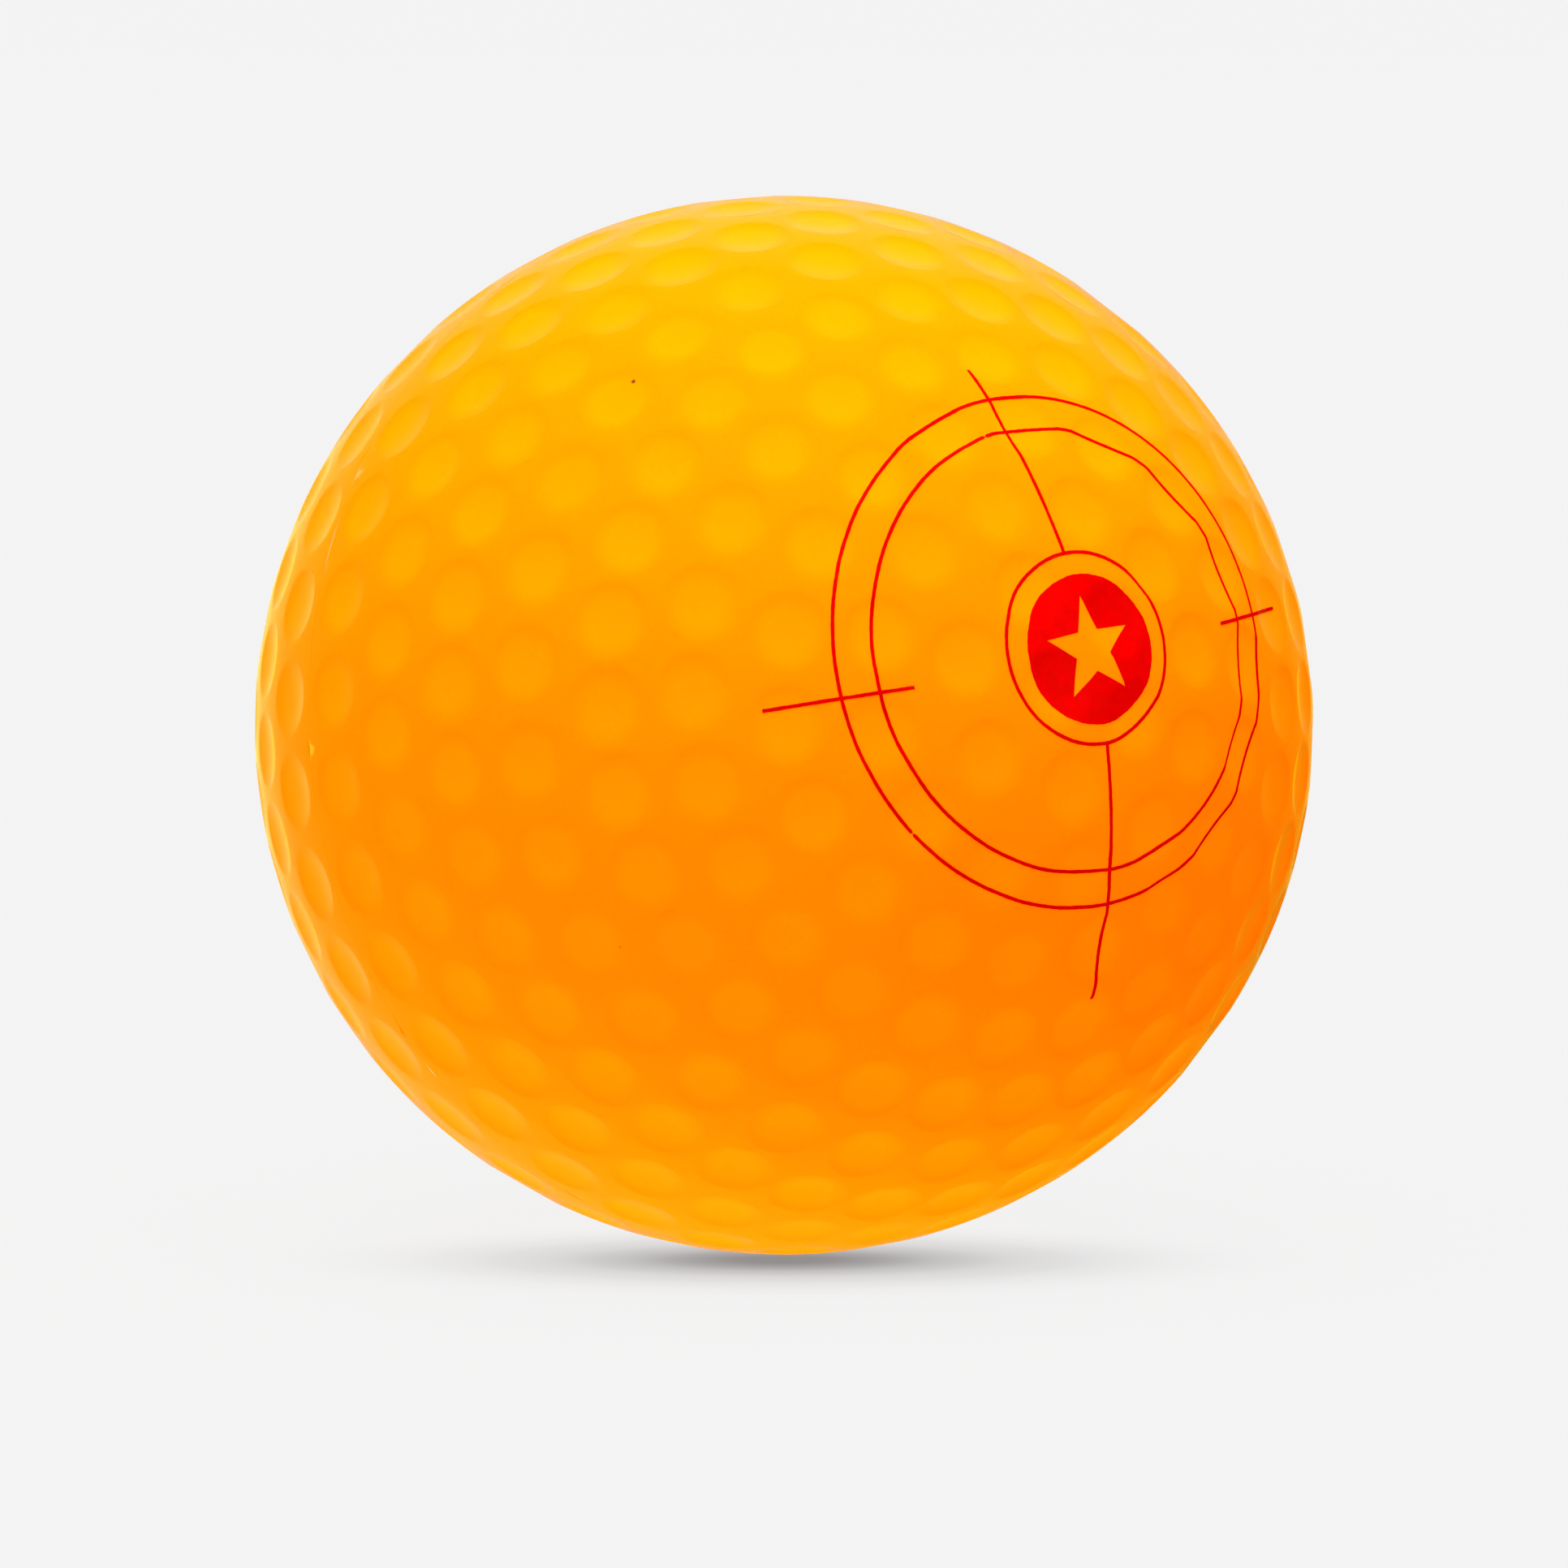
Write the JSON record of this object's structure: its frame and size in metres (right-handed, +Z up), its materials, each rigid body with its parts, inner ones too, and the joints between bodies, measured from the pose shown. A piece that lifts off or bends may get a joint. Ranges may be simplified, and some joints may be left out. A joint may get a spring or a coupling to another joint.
{
  "type": "golf ball",
  "caption": "Orange golf ball with rows of round dimples, a parting line and a red printed alignment target round a starred disc.",
  "frame": {"origin": "centre of the ball", "axes": "+Z up as the ball lies in the picture; -Y towards the printed side, whose dimple-pattern pole is tipped 8.2 degrees above the horizontal"},
  "size_m": [0.0426, 0.0427, 0.0426],
  "materials": {
    "cover_orange": "orange ionomer with a clear glossy coat",
    "mantle_ivory": "unpainted moulded ivory plastic",
    "core_rubber": "matt moulded rubber",
    "ink_red": "red pad-printed ink under the clear coat"
  },
  "bodies": {
    "root": {"core": "core_rubber", "mantle_half_front": "mantle_ivory", "mantle_half_rear": "mantle_ivory", "cover_half_front": "cover_orange", "cover_half_rear": "cover_orange", "ink_disc": "ink_red", "ink_ring_inner": "ink_red", "ink_ring_middle": "ink_red", "ink_ring_outer": "ink_red", "ink_arm_upper": "ink_red", "ink_arm_left": "ink_red", "ink_arm_lower": "ink_red", "ink_arm_right": "ink_red"}
  },
  "joints": []
}
